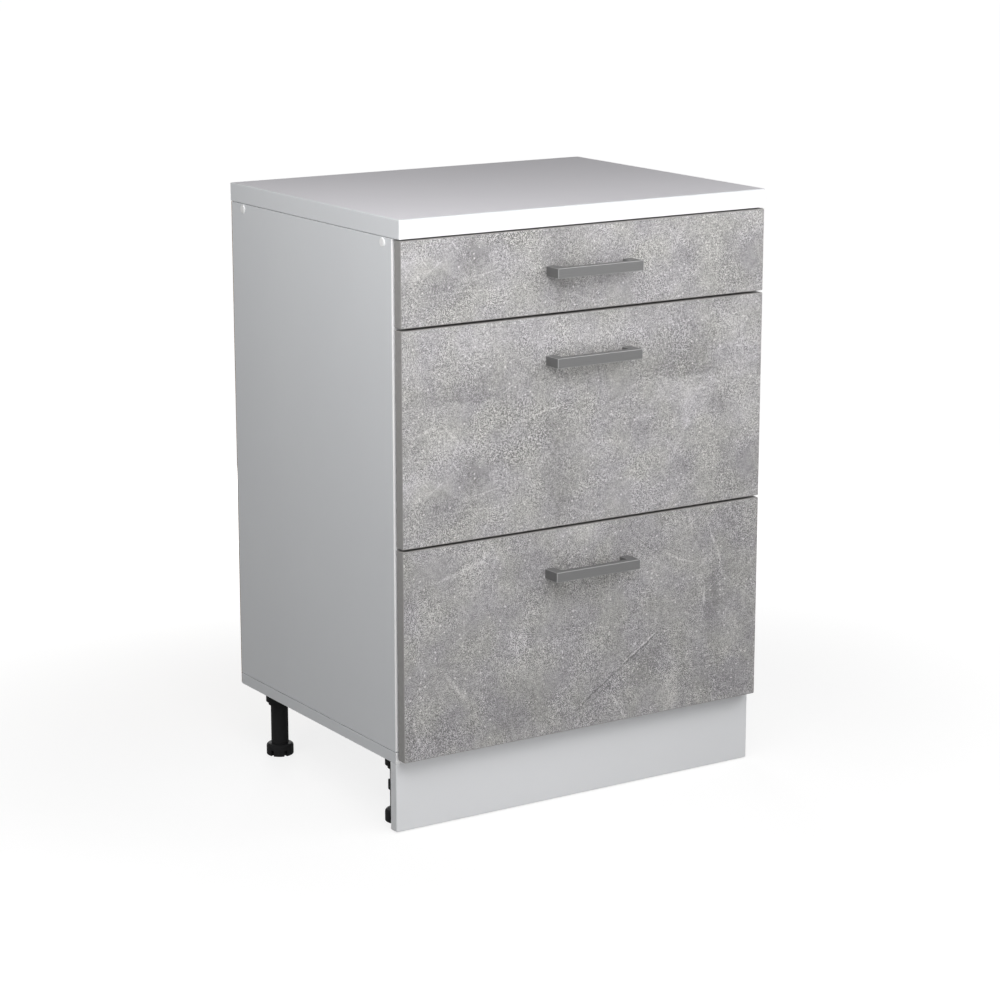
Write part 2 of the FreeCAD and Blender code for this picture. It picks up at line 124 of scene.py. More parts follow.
# Concrete print under melamine resin on the fronts: clouds of warm and cool grey, trowel marks,
# a sandy grain, fine scratches and pale specks of lime. The grain is drawn a little coarser than
# the print's dots, so that it shows. Sizes in mm, tones from 0, dark, to 1, light.
concrete = {
    "dark": "#6E6E6E", "middle": "#A2A2A2", "light": "#D8D8D8",
    "violet": "#FEFBFE", "olive": "#FFFDFA", "tint": 60, "tintRange": (0.35, 0.65),
    "roughness": 0.5, "relief": 0.04,
    "warp": 40, "stray": 34, "lineStray": 0.3,      # clouds wander off by the stray, lines by a share of it
    "markTone": 0.64, "lineTone": 0.6, "lineWidth": 10, "cutEdge": 0.02,
    "lineWear": 7, "wearRange": (0.35, 0.65), "worn": 0.3, "kept": 1.6,
    "roughPatch": 46, "patchRange": (0.45, 0.7), "calm": 0.80, "harsh": 1.65,
    "scratch": (3, 90, 1000),                       # width, length, and depth through the board
    "scratchRange": (0.66, 0.84), "scratchTone": 0.32,
    "specks": (8, 0.22, 0.34, 1.30),                # spacing, share of it that is speck, how many, tone
}
# Clouds and trowel marks: place from the front's lower left corner, half width and half height
# in mm, turn in degrees, and tone. A mark with a negative half height ends in a straight lower edge.
sandMarks = [
    (115, 90, 42, 34, 0, -0.30), (17, 84, 46, 32, 0, 0.26), (66, 132, 38, 46, 0, 0.22),
    (252, 52, 72, 64, 20, -0.25), (240, 118, 54, 72, 0, -0.20), (75, 42, 84, 52, 0, -0.15),
    (95, 188, 116, -66, 0, -0.26), (450, 188, 124, -100, 0, -0.34), (550, 225, 50, 84, 0, 0.18),
    (500, 290, 90, 20, 0, -0.18), (125, 272, 72, 32, 0, 0.24), (240, 266, 52, 28, 0, 0.15),
    (320, 268, 92, 30, 0, 0.20), (8, 246, 44, 50, 0, 0.15), (465, 168, 80, 30, 0, 0.22),
    (480, 138, 42, 40, 0, 0.15), (525, 146, 30, 26, 0, -0.18), (575, 132, 46, 54, 0, 0.18),
    (315, 108, 52, 30, 10, 0.15), (390, 125, 48, 18, 0, -0.20), (475, 66, 32, 28, 0, -0.15),
    (555, 52, 56, 62, 0, -0.16), (36, 157, 52, 4, 17, 0.42), (84, 143, 46, 4, -42, 0.40),
    (225, 163, 60, 2.2, 13, 0.7), (115, 41, 130, 1.8, 0, 0.40), (456, 102, 66, 7, 62, 0.36),
    (470, 150, 14, 18, 0, 0.20), (172, 112, 50, 26, 0, -0.24), (216, 136, 36, 30, 0, -0.16),
    (165, 172, 66, 26, 0, -0.14), (127, 61, 5, 4, 0, 0.6), (505, 60, 46, 4, 40, 0.22),
]
trowelMarks = [
    (312, 48, 70, 2.6, 34, -0.85), (384, 96, 60, 2.2, 34, -0.8), (392, 105, 62, 2.2, 34, 0.85),
    (190, 146, 28, 42, 0, 0.16), (205, 140, 16, 28, 0, -0.20), (84, 92, 46, 6, -52, 0.42),
    (90, 256, 100, 4, 13, 0.42), (520, 235, 76, 3, -70, 0.46), (502, 160, 40, 2.6, 84, 0.60),
    (517, 150, 20, 74, 0, -0.30), (440, 28, 42, 46, 0, 0.18), (405, 78, 64, 44, 30, -0.23),
    (290, 290, 62, 32, 0, 0.27), (120, 268, 62, 36, 0, 0.20), (30, 195, 42, 46, 0, 0.18),
    (130, 215, 110, 40, 0, 0.12), (60, 30, 98, 48, 0, -0.18), (180, 50, 92, 48, 0, -0.15),
    (430, 212, 72, 38, 0, 0.15), (545, 110, 42, 48, 0, 0.14), (550, 270, 42, 52, 0, -0.15),
    (520, 40, 52, 52, 0, -0.15), (560, 20, 52, 42, 0, -0.15), (465, 45, 12, 56, 0, -0.22),
    (352, 22, 34, 3, -55, 0.60), (452, 226, 44, 2.6, -24, 0.70), (95, 190, 2.2, 120, 0, 0.26),
    (20, 38, 30, 3, -75, 0.80), (475, 275, 3, 36, 10, 0.24), (130, 272, 6, 5, 0, 0.6),
    (147, 266, 7, 5, 0, 0.6), (527, 134, 5, 5, 0, 0.6), (382, 110, 6, 4, 30, 0.7),
    (10, 212, 5, 5, 0, 0.7), (172, 156, 3, 14, 10, 0.8), (186, 150, 5, 5, 0, 0.8),
    (180, 134, 6, 4, 30, 0.7), (202, 126, 6, 5, 0, 0.8), (194, 114, 5, 4, 0, 0.6),
    (330, 50, 20, 3, 34, -0.5), (30, 16, 8, 5, 0, 0.6),
]
# Where the grain is coarse, or with a negative force nearly rubbed smooth: place, half sizes, turn, force
sandRough = [
    (165, 170, 66, 26, 0, 1.2), (172, 112, 48, 24, 0, 2.0), (216, 136, 34, 28, 0, 1.7),
    (125, 140, 26, 42, 0, 0.8), (95, 220, 40, 28, 0, 0.6), (235, 238, 28, 32, 0, 0.5),
    (456, 222, 30, 44, 0, 0.8), (20, 12, 50, 34, 0, 0.5), (130, 85, 78, 20, -42, -0.6),
    (60, 76, 66, 24, 0, -0.4), (95, 174, 30, 20, 0, -0.4), (350, 186, 50, 34, 0, -0.4),
    (350, 30, 44, 34, 0, -0.4), (572, 40, 34, 76, 0, -0.4),
]
trowelRough = [
    (190, 142, 26, 46, 0, 1.7), (26, 22, 36, 32, 0, 1.2), (398, 108, 36, 20, 20, 0.8),
    (350, 62, 80, 26, 34, 0.5), (300, 238, 100, 26, 0, 0.5), (32, 182, 26, 28, 0, 0.6),
    (470, 50, 18, 36, 0, 0.7), (105, 34, 22, 26, 0, 0.6), (104, 182, 38, 54, 0, -0.5),
    (372, 190, 76, 36, 0, -0.4), (515, 186, 18, 42, 0, -0.4), (230, 66, 66, 40, 0, -0.3),
    (500, 26, 24, 36, 0, -0.4), (50, 262, 60, 28, 0, -0.35),
]
# Two prints: the upper front is cut from the foot of the same sheet as the middle one. Clouds and grain
# are layers of size, detail and strength. The depth, in mm, moves a print to another part of the noise.
prints = {
    "sand": {"marks": sandMarks, "rough": sandRough, "depth": 0, "lift": 0.025,
             "scratchTurns": (8, -48, 34),
             "clouds": [(120, 3.0, 0.22), (34, 3.0, 0.26), (10, 3.0, 0.60)],
             "grain": [(3.4, 2.0, 1.20), (1.5, 1.0, 2.10)]},
    "trowel": {"marks": trowelMarks, "rough": trowelRough, "depth": 3000, "lift": -0.035,
               "scratchTurns": (86, -62, 34),
               "clouds": [(120, 3.0, 0.22), (34, 3.0, 0.24), (10, 3.0, 0.40)],
               "grain": [(3.4, 2.0, 0.90), (1.5, 1.0, 2.30)]},
}
frontPrints = {"upper": "sand", "middle": "sand", "lower": "trowel"}


def layMark(tree, place, mark, tone):
    # adds a mark to a tone, full in its middle and faded out at its rim
    across, up, halfWidth, halfHeight, turn, strength = mark
    through = 1e6                                   # a mark runs right through the board
    spot = addNode(tree, "ShaderNodeMapping",
                   {"Vector": place, "Location": (across, 0, up),
                    "Rotation": (0, -math.radians(turn), 0),
                    "Scale": (halfWidth, through, abs(halfHeight))}, vector_type="TEXTURE")
    reach = addNode(tree, "ShaderNodeTexGradient", {"Vector": spot.outputs["Vector"]},
                    gradient_type="SPHERICAL")
    fade = addNode(tree, "ShaderNodeMapRange", {"Value": reach.outputs["Fac"]},
                   interpolation_type="SMOOTHSTEP")
    if halfHeight < 0:
        level = addNode(tree, "ShaderNodeSeparateXYZ", {"Vector": spot.outputs["Vector"]})
        above = addNode(tree, "ShaderNodeMapRange",
                        {"Value": level.outputs["Z"], "From Min": -concrete["cutEdge"],
                         "From Max": concrete["cutEdge"]})
        fade = addNode(tree, "ShaderNodeMath", {0: fade.outputs[0], 1: above.outputs[0]},
                       operation="MULTIPLY")
    return addNode(tree, "ShaderNodeMath", {0: fade.outputs[0], 1: strength, 2: tone},
                   operation="MULTIPLY_ADD").outputs[0]


def makeConcrete(name, corner, decor):
    material, tree, shader, place = newMaterial(name, Roughness=concrete["roughness"], IOR=resinIor)
    start = corner / mm - Vector((0, decor["depth"], 0))
    sheet = addNode(tree, "ShaderNodeMapping", {"Vector": place, "Location": -start}).outputs["Vector"]
    sway = addNode(tree, "ShaderNodeTexNoise",
                   {"Vector": sheet, "Scale": 1 / concrete["warp"], "Detail": 3.0})
    stray = addNode(tree, "ShaderNodeVectorMath",
                    {0: sway.outputs["Color"], 1: (concrete["stray"],) * 3,
                     2: (-concrete["stray"] / 2,) * 3}, operation="MULTIPLY_ADD")
    loose = addNode(tree, "ShaderNodeVectorMath", {0: sheet, 1: stray.outputs[0]},
                    operation="ADD").outputs[0]
    firm = addNode(tree, "ShaderNodeVectorMath",
                   {0: stray.outputs[0], 1: (concrete["lineStray"],) * 3, 2: sheet},
                   operation="MULTIPLY_ADD").outputs[0]

    tone = 0.5 + decor["lift"] - sum(layer[2] for layer in decor["clouds"]) / 2
    for size, detail, strength in decor["clouds"]:
        noise = addNode(tree, "ShaderNodeTexNoise",
                        {"Vector": loose, "Scale": 1 / size, "Detail": detail})
        tone = addNode(tree, "ShaderNodeMath", {0: noise.outputs["Fac"], 1: strength, 2: tone},
                       operation="MULTIPLY_ADD").outputs[0]
    lines = 0.0
    for mark in decor["marks"]:
        isLine = min(mark[2], abs(mark[3])) < concrete["lineWidth"]
        strength = mark[5] * concrete["lineTone" if isLine else "markTone"]
        if isLine:
            lines = layMark(tree, firm, mark[:5] + (strength,), lines)
        else:
            tone = layMark(tree, loose, mark[:5] + (strength,), tone)
    # the fine lines are worn away here and there
    wear = addNode(tree, "ShaderNodeTexNoise",
                   {"Vector": sheet, "Scale": 1 / concrete["lineWear"], "Detail": 2.0})
    least, most = concrete["wearRange"]
    left = addNode(tree, "ShaderNodeMapRange",
                   {"Value": wear.outputs["Fac"], "From Min": least, "From Max": most,
                    "To Min": concrete["worn"], "To Max": concrete["kept"]})
    tone = addNode(tree, "ShaderNodeMath", {0: lines, 1: left.outputs[0], 2: tone},
                   operation="MULTIPLY_ADD").outputs[0]

    # the grain is harsh in some patches and nearly smooth in others
    patch = addNode(tree, "ShaderNodeTexNoise",
                    {"Vector": sheet, "Scale": 1 / concrete["roughPatch"], "Detail": 2.0})
    least, most = concrete["patchRange"]
    force = addNode(tree, "ShaderNodeMapRange",
                    {"Value": patch.outputs["Fac"], "From Min": least, "From Max": most,
                     "To Min": concrete["calm"], "To Max": concrete["harsh"]}).outputs[0]
    for mark in decor["rough"]:
        force = layMark(tree, loose, mark, force)
    for size, detail, strength in decor["grain"]:
        grain = addNode(tree, "ShaderNodeTexNoise",
                        {"Vector": sheet, "Scale": 1 / size, "Detail": detail})
        swing = addNode(tree, "ShaderNodeMath",
                        {0: grain.outputs["Fac"], 1: strength, 2: -strength / 2},
                        operation="MULTIPLY_ADD")
        tone = addNode(tree, "ShaderNodeMath", {0: swing.outputs[0], 1: force, 2: tone},
                       operation="MULTIPLY_ADD").outputs[0]

    # scratches are noise drawn out along a line, of which only the peaks are kept
    width, length, depth = concrete["scratch"]
    least, most = concrete["scratchRange"]
    for turn in decor["scratchTurns"]:
        along = addNode(tree, "ShaderNodeMapping",
                        {"Vector": sheet, "Location": (turn, turn, turn),
                         "Rotation": (0, -math.radians(turn), 0), "Scale": (length, depth, width)},
                        vector_type="TEXTURE")
        streak = addNode(tree, "ShaderNodeTexNoise",
                         {"Vector": along.outputs["Vector"], "Scale": 1.0, "Detail": 1.0})
        peak = addNode(tree, "ShaderNodeMapRange",
                       {"Value": streak.outputs["Fac"], "From Min": least, "From Max": most})
        tone = addNode(tree, "ShaderNodeMath",
                       {0: peak.outputs[0], 1: concrete["scratchTone"], 2: tone},
                       operation="MULTIPLY_ADD").outputs[0]

    spacing, size, share, strength = concrete["specks"]
    cells = addNode(tree, "ShaderNodeTexVoronoi", {"Vector": sheet, "Scale": 1 / spacing})
    speck = addNode(tree, "ShaderNodeMapRange",
                    {"Value": cells.outputs["Distance"], "From Min": 0.0, "From Max": size,
                     "To Min": strength, "To Max": 0.0})
    draw = addNode(tree, "ShaderNodeSeparateColor", {"Color": cells.outputs["Color"]})
    chosen = addNode(tree, "ShaderNodeMath", {0: draw.outputs[0], 1: share}, operation="LESS_THAN")
    tone = addNode(tree, "ShaderNodeMath", {0: speck.outputs[0], 1: chosen.outputs[0], 2: tone},
                   operation="MULTIPLY_ADD").outputs[0]

    grey = addNode(tree, "ShaderNodeValToRGB", {"Fac": tone})
    grey.color_ramp.elements[0].color = linear(concrete["dark"])
    grey.color_ramp.elements[1].color = linear(concrete["light"])
    grey.color_ramp.elements.new(0.5).color = linear(concrete["middle"])
    drift = addNode(tree, "ShaderNodeTexNoise",
                    {"Vector": loose, "Scale": 1 / concrete["tint"], "Detail": 1.0})
    least, most = concrete["tintRange"]
    side = addNode(tree, "ShaderNodeMapRange",
                   {"Value": drift.outputs["Fac"], "From Min": least, "From Max": most})
    tint = addNode(tree, "ShaderNodeMix", {0: side.outputs[0], 6: linear(concrete["violet"]),
                                           7: linear(concrete["olive"])}, data_type="RGBA")
    colour = addNode(tree, "ShaderNodeMix", {0: 1.0, 6: grey.outputs["Color"], 7: tint.outputs[2]},
                     data_type="RGBA", blend_type="MULTIPLY")
    tree.links.new(colour.outputs[2], shader.inputs["Base Color"])
    emboss(tree, shader, grain.outputs["Fac"], concrete["relief"], firmRelief)
    return material


# Polypropylene, moulded black: a low waxy gloss from the spark-eroded mould
blackPlastic = {"colour": "#2B2B2C", "shade": "#343435", "roughness": 0.6, "metallic": 0.0,
                "sheen": 0.03, "pebble": 0.9, "relief": 0.03}
# Polyethylene caps, white and a little translucent at the rim, so they read brighter than the board
capPlastic = {"colour": "#F9F9F9", "shade": "#F6F6F6", "roughness": 0.3, "metallic": 0.0,
              "sheen": 0.5, "pebble": 1.5, "relief": 0.01}
# ABS edge band on the carcass boards' front edges: a closer white, brighter than the board as a painted
# highlight
whiteBandHighlight = {"colour": "#FDFDFD", "shade": "#FAFAFB", "roughness": 0.35, "metallic": 0.0,
             "sheen": 0.5, "pebble": 2.5, "relief": 0.01}
# The same band on the drawer boxes' upper edges, in their greyer white
boxBand = {"colour": "#E7E9EA", "shade": "#E3E4E6", "roughness": 0.4, "metallic": 0.0,
           "sheen": 0.5, "pebble": 2.5, "relief": 0.01}
# ABS edge band on the fronts, printed to go with the concrete: plainer than the face, and darker
concreteBand = {"colour": "#8F8D8C", "shade": "#A09E9C", "roughness": 0.5, "metallic": 0.0,
                "sheen": 0.4, "pebble": 5.0, "relief": 0.01}
# Zinc-plated screws: bright steel with a slight haze
zincPlate = {"colour": "#C2C5C6", "shade": "#AEB1B0", "roughness": 0.3, "metallic": 1.0,
             "sheen": 0.5, "pebble": 1.8, "relief": 0.01}


def makePebbled(name, settings):
    material, tree, shader, place = newMaterial(name, Roughness=settings["roughness"],
                                                Metallic=settings["metallic"],
                                                Specular_IOR_Level=settings["sheen"])
    pebble = addNode(tree, "ShaderNodeTexNoise",
                     {"Vector": place, "Scale": 1 / settings["pebble"], "Detail": 2.0})
    tone = addNode(tree, "ShaderNodeMix", {0: pebble.outputs["Fac"], 6: linear(settings["colour"]),
                                           7: linear(settings["shade"])}, data_type="RGBA")
    tree.links.new(tone.outputs[2], shader.inputs["Base Color"])
    emboss(tree, shader, pebble.outputs["Fac"], settings["relief"], firmRelief)
    return material


# Die-cast zinc, brushed along the bar and across its ends, then plated graphite: a dull sheen drawn
# out along the brush lines. The eased edges are painted paler, a painted highlight along them
graphite = {"colour": "#7A7A7A", "line": "#6A6A6A", "edge": "#A2A2A2", "highlightLine": "#949494",
            "roughness": 0.38, "metallic": 0.35, "lineWidth": 0.5, "lineLength": 40, "relief": 0.02,
            "endFacing": 0.7}


def makeBrushed(name, colour, line):
    material, tree, shader, place = newMaterial(name, Roughness=graphite["roughness"],
                                                Metallic=graphite["metallic"])
    side = addNode(tree, "ShaderNodeSeparateXYZ",
                   {"Vector": addNode(tree, "ShaderNodeNewGeometry").outputs["True Normal"]})
    sideways = addNode(tree, "ShaderNodeMath", {0: side.outputs["X"]}, operation="ABSOLUTE")
    onEnd = addNode(tree, "ShaderNodeMath", {0: sideways.outputs[0], 1: graphite["endFacing"]},
                    operation="GREATER_THAN")
    width, length = graphite["lineWidth"], graphite["lineLength"]
    strokes = []
    for stretch in ((length, width, width), (length, width, length)):     # along the bar, up its ends
        drawn = addNode(tree, "ShaderNodeMapping", {"Vector": place, "Scale": stretch},
                        vector_type="TEXTURE")
        stroke = addNode(tree, "ShaderNodeTexNoise",
                         {"Vector": drawn.outputs["Vector"], "Scale": 1.0, "Detail": 2.0})
        strokes.append(stroke.outputs["Fac"])
    brush = addNode(tree, "ShaderNodeMix", {0: onEnd.outputs[0], 2: strokes[0], 3: strokes[1]})
    tone = addNode(tree, "ShaderNodeMix", {0: brush.outputs[0], 6: linear(colour), 7: linear(line)},
                   data_type="RGBA")
    tree.links.new(tone.outputs[2], shader.inputs["Base Color"])
    emboss(tree, shader, brush.outputs[0], graphite["relief"], softRelief)
    return material


# Cold-rolled steel strip, zinc-plated: a soft grey mirror with a faint patchwork of zinc crystals
galvanised = {"colour": "#B9BDBF", "shade": "#ACB0B3", "roughness": 0.34, "haze": 0.06, "spangle": 3}


def makeGalvanised():
    material, tree, shader, place = newMaterial("galvanisedSteel", Metallic=1.0)
    crystals = addNode(tree, "ShaderNodeTexVoronoi",
                       {"Vector": place, "Scale": 1 / galvanised["spangle"]})
    pick = addNode(tree, "ShaderNodeSeparateColor", {"Color": crystals.outputs["Color"]})
    tone = addNode(tree, "ShaderNodeMix", {0: pick.outputs[0], 6: linear(galvanised["colour"]),
                                           7: linear(galvanised["shade"])}, data_type="RGBA")
    tree.links.new(tone.outputs[2], shader.inputs["Base Color"])
    haze = addNode(tree, "ShaderNodeMapRange",
                   {"Value": pick.outputs[1],
                    "To Min": galvanised["roughness"] - galvanised["haze"],
                    "To Max": galvanised["roughness"] + galvanised["haze"]})
    tree.links.new(haze.outputs[0], shader.inputs["Roughness"])
    return material


# Hardboard, pressed wood fibre: lacquered white on the inside, bare brown felted fibre behind
hardboard = {"lacquer": "#E2E3E3", "fibre": "#A5825C", "fleck": "#6B5039", "roughness": 0.62,
             "fibreSize": 2.2, "drift": 70, "driftShare": 0.35, "fibreRange": (0.42, 0.92),
             "innerFacing": -0.5, "relief": 0.05}


def makeHardboard():
    material, tree, shader, place = newMaterial("lacqueredHardboard", Roughness=hardboard["roughness"])
    felt = addNode(tree, "ShaderNodeTexNoise",
                   {"Vector": place, "Scale": 1 / hardboard["fibreSize"], "Detail": 4.0,
                    "Distortion": 1.5})
    drift = addNode(tree, "ShaderNodeTexNoise",
                    {"Vector": place, "Scale": 1 / hardboard["drift"], "Detail": 5.0})
    lie = addNode(tree, "ShaderNodeMath", {0: drift.outputs["Fac"], 1: hardboard["driftShare"],
                                           2: felt.outputs["Fac"]}, operation="MULTIPLY_ADD")
    least, most = hardboard["fibreRange"]
    share = addNode(tree, "ShaderNodeMapRange",
                    {"Value": lie.outputs[0], "From Min": least, "From Max": most})
    fibre = addNode(tree, "ShaderNodeMix", {0: share.outputs[0], 6: linear(hardboard["fibre"]),
                                            7: linear(hardboard["fleck"])}, data_type="RGBA")
    facing = addNode(tree, "ShaderNodeSeparateXYZ",
                     {"Vector": addNode(tree, "ShaderNodeNewGeometry").outputs["True Normal"]})
    inner = addNode(tree, "ShaderNodeMath", {0: facing.outputs["Y"], 1: hardboard["innerFacing"]},
                    operation="LESS_THAN")
    colour = addNode(tree, "ShaderNodeMix", {0: inner.outputs[0], 6: fibre.outputs[2],
                                             7: linear(hardboard["lacquer"])}, data_type="RGBA")
    tree.links.new(colour.outputs[2], shader.inputs["Base Color"])
    emboss(tree, shader, felt.outputs["Fac"], hardboard["relief"], softRelief)
    return material


# Beech dowels, turned and fluted: pale pinkish wood with short rays along the grain
beech = {"colour": "#D9B58C", "ray": "#B98F63", "roughness": 0.55, "grain": 1.5, "alongGrain": 0.2}


def makeBeech():
    material, tree, shader, place = newMaterial("beechWood", Roughness=beech["roughness"])
    stretch = addNode(tree, "ShaderNodeMapping",
                      {"Vector": place, "Scale": (beech["alongGrain"], 1.0, 1.0)})
    rays = addNode(tree, "ShaderNodeTexNoise",
                   {"Vector": stretch.outputs["Vector"], "Scale": 1 / beech["grain"], "Detail": 3.0})
    tone = addNode(tree, "ShaderNodeMix", {0: rays.outputs["Fac"], 6: linear(beech["colour"]),
                                           7: linear(beech["ray"])}, data_type="RGBA")
    tree.links.new(tone.outputs[2], shader.inputs["Base Color"])
    return material


whiteBoard = makeMelamine("whiteMelamine", melamine)
worktopSkin = makeMelamine("worktopLaminate", worktopLaminate)
plinthWhite = makeMelamine("plinthFoil", plinthFoil)
boxBoard = makeMelamine("boxMelamine", boxMelamine)
graphitePlate = makeBrushed("graphitePlatedZinc", graphite["colour"], graphite["line"])
# the paler plate for the handles' eased edges: a painted highlight
paintedHighlightPlate = makeBrushed("graphitePaintedHighlight", graphite["edge"], graphite["highlightLine"])
mouldedBlack = makePebbled("blackPolypropylene", blackPlastic)
capWhite = makePebbled("whitePolyethylene", capPlastic)
# the front edge band, painted brighter than the board: a painted highlight
edgeWhiteHighlight = makePebbled("whiteEdgeBandHighlight", whiteBandHighlight)
edgeBox = makePebbled("boxEdgeBand", boxBand)
edgeConcrete = makePebbled("concreteEdgeBand", concreteBand)
screwZinc = makePebbled("zincPlatedSteel", zincPlate)
railSteel = makeGalvanised()
fibreBoard = makeHardboard()
dowelWood = makeBeech()
frontSkins = {}
for drawer in drawerNames:
    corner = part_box(drawer + "_front")[0]
    frontSkins[drawer] = makeConcrete(drawer + "ConcreteLaminate", corner, prints[frontPrints[drawer]])
print("materials made:", len(bpy.data.materials))


# The CAD nodes' own finishes. A node that a finer piece stands for is hidden further down.
nodeFinish = {
    whiteBoard: ["left_side_panel", "right_side_panel", "bottom_panel", "front_top_rail",
                 "rear_top_rail"],
    plinthWhite: ["plinth"], worktopSkin: ["worktop"], fibreBoard: ["back_panel"],
    dowelWood: ["carcass_dowels"], capWhite: ["screw_caps"], railSteel: ["cabinet_rails"],
    mouldedBlack: ["plinth_clips", "leg_sockets", "leg_tubes", "front_left_foot", "front_right_foot",
                   "rear_left_foot", "rear_right_foot"],
    screwZinc: ["plinth_clip_screws", "carcass_screws", "back_panel_nails", "worktop_screws",
                "rail_screws"],
    graphitePlate: [], boxBoard: [],
}
for drawer in drawerNames:
    nodeFinish[frontSkins[drawer]] = [drawer + "_front"]
    nodeFinish[graphitePlate].append(drawer + "_handle")
    for board in ("left_side", "right_side", "front", "back", "bottom"):
        nodeFinish[boxBoard].append(drawer + "_box_" + board)
    nodeFinish[railSteel] += [drawer + "_drawer_rails", drawer + "_sliding_rails"]
    nodeFinish[screwZinc] += [drawer + "_drawer_screws", drawer + "_outer_ball_strips",
                              drawer + "_inner_ball_strips"]
for finish, named in nodeFinish.items():
    for name in named:
        nodes[name].data.materials.clear()
        nodes[name].data.materials.append(finish)
finished = {name for named in nodeFinish.values() for name in named}
print("nodes without a finish:", sorted(set(nodes) - finished))


# Shared by all modelled pieces

hair = 1e-6              # places closer than this, in metres, are the same place
sharp = 0.7              # an edge whose faces turn by more than this, in radians, still has to be eased
facingWay = 0.99         # a face whose normal has this share along an axis lies square to it


def startPiece(name):
    # the primitive just added becomes a piece, with its place in its mesh, open in edit mode
    piece = bpy.context.object
    piece.name = name
    piece.data.name = name
    bpy.ops.object.transform_apply(location=True, rotation=True, scale=True)
    bpy.ops.object.mode_set(mode="EDIT")
    return piece


def addBlock(name, low, high):
    low, high = Vector(low), Vector(high)
    bpy.ops.object.select_all(action="DESELECT")
    bpy.ops.mesh.primitive_cube_add(size=1, location=(low + high) / 2, scale=high - low)
    return startPiece(name)


def addRod(name, start, end, radius, sides):
    start, end = Vector(start), Vector(end)
    turn = (end - start).to_track_quat("Z", "Y").to_euler()
    bpy.ops.object.select_all(action="DESELECT")
    bpy.ops.mesh.primitive_cylinder_add(vertices=sides, radius=radius, depth=(end - start).length,
                                        location=(start + end) / 2, rotation=turn)
    return startPiece(name)


def choose(kind, test):
    # selects the faces or edges of the open mesh that pass the test
    bpy.ops.mesh.select_mode(type=kind)
    bpy.ops.mesh.select_all(action="DESELECT")
    opened = bmesh.from_edit_mesh(bpy.context.object.data)
    for item in {"FACE": opened.faces, "EDGE": opened.edges}[kind]:
        if test(item):
            item.select_set(True)
    opened.select_flush_mode()
    bmesh.update_edit_mesh(bpy.context.object.data)


def middle(item):
    return sum((vert.co for vert in item.verts), Vector()) / len(item.verts)


def coat(piece, finish):
    # the chosen faces take one more finish
    piece.data.materials.append(finish)
    piece.active_material_index = len(piece.data.materials) - 1
    bpy.ops.object.material_slot_assign()


def pull(way):
    # draws the chosen faces out along a way, in metres
    bpy.ops.mesh.extrude_region_move(TRANSFORM_OT_translate={"value": way})


def cutAway(pattern, cutter):
    # takes the open cutter's shape out of the pattern
    bpy.ops.object.mode_set(mode="OBJECT")
    bpy.context.view_layer.objects.active = pattern
    cut = pattern.modifiers.new("cut", "BOOLEAN")
    cut.operation = "DIFFERENCE"
    cut.object = cutter
    bpy.ops.object.modifier_apply(modifier=cut.name)
    bpy.data.objects.remove(cutter)


def selectOnly(pieces):
    bpy.ops.object.select_all(action="DESELECT")
    for piece in pieces:
        piece.select_set(True)
    bpy.context.view_layer.objects.active = pieces[0]


def copyPattern(pattern, name):
    # a copy with its own mesh, ready to be placed
    selectOnly([pattern])
    bpy.ops.object.duplicate()
    piece = bpy.context.object
    piece.name = name
    piece.data.name = name
    return piece


def finishPiece(piece, slot, body, *stoodFor):
    # out of edit mode, its place in its mesh, and riding on its body in place of its CAD nodes
    bpy.ops.object.mode_set(mode="OBJECT")
    bpy.ops.object.transform_apply(location=True, rotation=True, scale=True)
    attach(piece, body)
    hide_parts(*stoodFor)


# Boards: each is cut to size, edge-banded, and has its edges eased. Where a side meets the worktop and
# the bottom board, its end is stepped back a little, which draws the fine dark joint lines seen from
# outside. Sizes in mm: the radius of the eased edges, and of those along the front, the heights of the
# upper and the lower step, and how far they are set back. An end face is larger than endArea, in m2.
easing = {"frontSegments": 4, "segments": 3, "endArea": 1e-4}
sideBoard = {"radius": 0.5, "frontRadius": 1.4, "jointSteps": (0.9, 0.9), "setBack": 3}
boards = {
    "leftSide": {"node": "left_side_panel", **sideBoard},
    "rightSide": {"node": "right_side_panel", **sideBoard},
    "bottomBoard": {"node": "bottom_panel", "radius": 0.4, "frontRadius": 0.9},
    "plinthBoard": {"node": "plinth", "radius": 1.5, "frontRadius": 1.5, "finish": plinthWhite,
                    "band": plinthWhite},
}
for drawer in drawerNames:
    boards[drawer + "FrontBoard"] = {
        "node": drawer + "_front", "radius": 1.0, "frontRadius": 1.0, "finish": frontSkins[drawer],
        "band": edgeConcrete, "banded": "round", "slot": "front_laminate", "body": drawer + "_drawer"}
    for place in ("left_side", "right_side", "front", "back"):
        boards[drawer + "Box" + place.title().replace("_", "")] = {
            "node": drawer + "_box_" + place, "radius": 0.7, "frontRadius": 0.7, "finish": boxBoard,
            "band": edgeBox, "banded": "top", "slot": "box_board", "body": drawer + "_drawer"}
bandedFaces = {
    "front": lambda face: face.normal.y < -facingWay,                   # a carcass board
    "round": lambda face: abs(face.normal.y) < 1 - facingWay,           # a drawer front
    "top": lambda face: face.normal.z > facingWay,                      # a board of a drawer box
}
